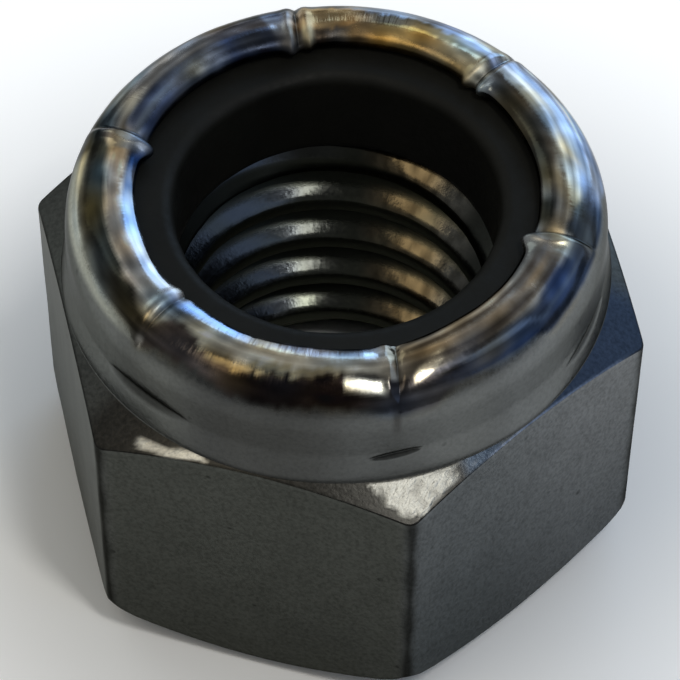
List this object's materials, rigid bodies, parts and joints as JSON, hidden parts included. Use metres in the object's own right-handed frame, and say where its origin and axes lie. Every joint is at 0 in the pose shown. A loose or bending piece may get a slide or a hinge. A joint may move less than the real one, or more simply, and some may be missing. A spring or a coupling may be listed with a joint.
{
  "type": "hex lock nut with plastic insert",
  "caption": "Steel hex nut with a plastic locking ring held in its top by a crimped collar; it grips a screw so that vibration can't loosen it.",
  "frame": {"origin": "centre of the bearing face, on the screw axis", "axes": "+Z along the screw axis, from the bearing face towards the crimped collar; two corners of the hexagon lie on the X axis, and two flats face +Y and -Y"},
  "size_m": [0.0164, 0.0142, 0.0117],
  "materials": {
    "zinc_plated_steel": "satin zinc plating on the flats, bright on the rolled crown",
    "dark_nylon": "matt"
  },
  "bodies": {
    "root": {"nut_body": "zinc_plated_steel", "insert_ring": "dark_nylon"}
  },
  "joints": []
}
